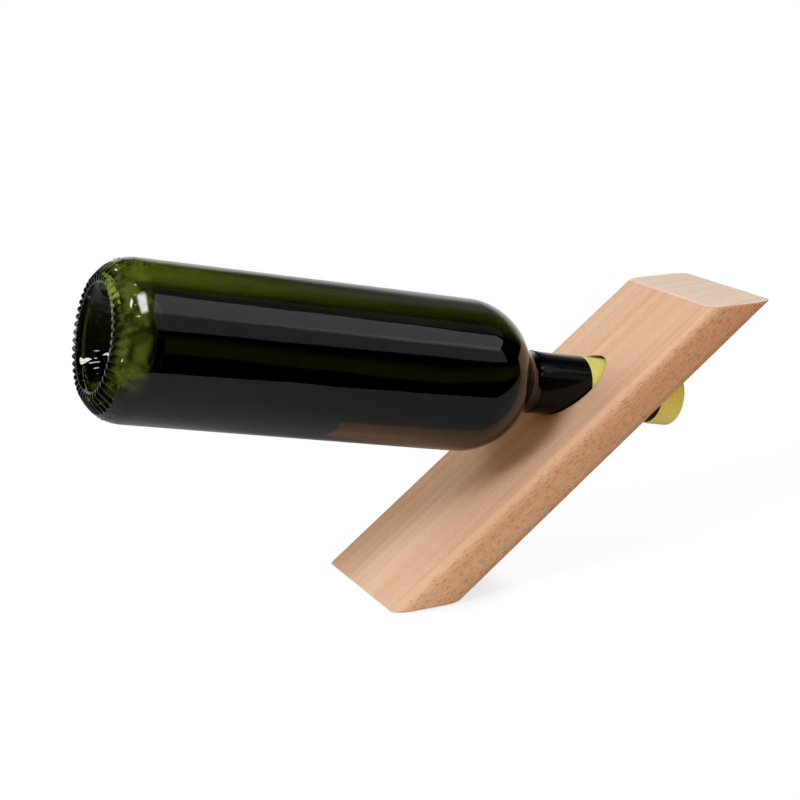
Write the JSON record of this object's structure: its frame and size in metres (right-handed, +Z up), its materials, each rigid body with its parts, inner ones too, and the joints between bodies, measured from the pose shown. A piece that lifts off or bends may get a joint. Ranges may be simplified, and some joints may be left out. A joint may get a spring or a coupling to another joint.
{
  "type": "balancing wine bottle holder",
  "caption": "Leaning solid wood plank with a slanted hole that carries a full corked wine bottle by its neck, so that plank and bottle balance each other on the plank's narrow foot.",
  "frame": {"origin": "middle of the plank's foot, on the surface that it stands on", "axes": "+Z up; +X level, from the foot towards the plank's top and the bottle's mouth; +Y across the plank"},
  "size_m": [0.3457, 0.08, 0.1738],
  "materials": {
    "beech": "satin",
    "olive_glass": "polished",
    "pale_wine": "gloss",
    "cork_bark": "matte",
    "capsule_film": "satin",
    "capsule_disc": "satin"
  },
  "bodies": {
    "holder": {"holder_plank": "beech"},
    "filling": {"wine": "pale_wine"},
    "bottle": {"bottle_glass": "olive_glass", "cork": "cork_bark", "capsule_sleeve": "capsule_film", "capsule_top": "capsule_disc"}
  },
  "joints": [
    {"name": "bottle_slide", "type": "slide", "parent": "holder", "child": "filling", "axis": [-0.9781, 0, 0.2079], "range_m": [-0.01, 0.09]},
    {"name": "bottle_spin", "type": "hinge", "parent": "filling", "child": "bottle", "pos_m": [-0.14619, 0, 0.14022], "axis": [0.9781, 0, -0.2079], "continuous": true}
  ]
}
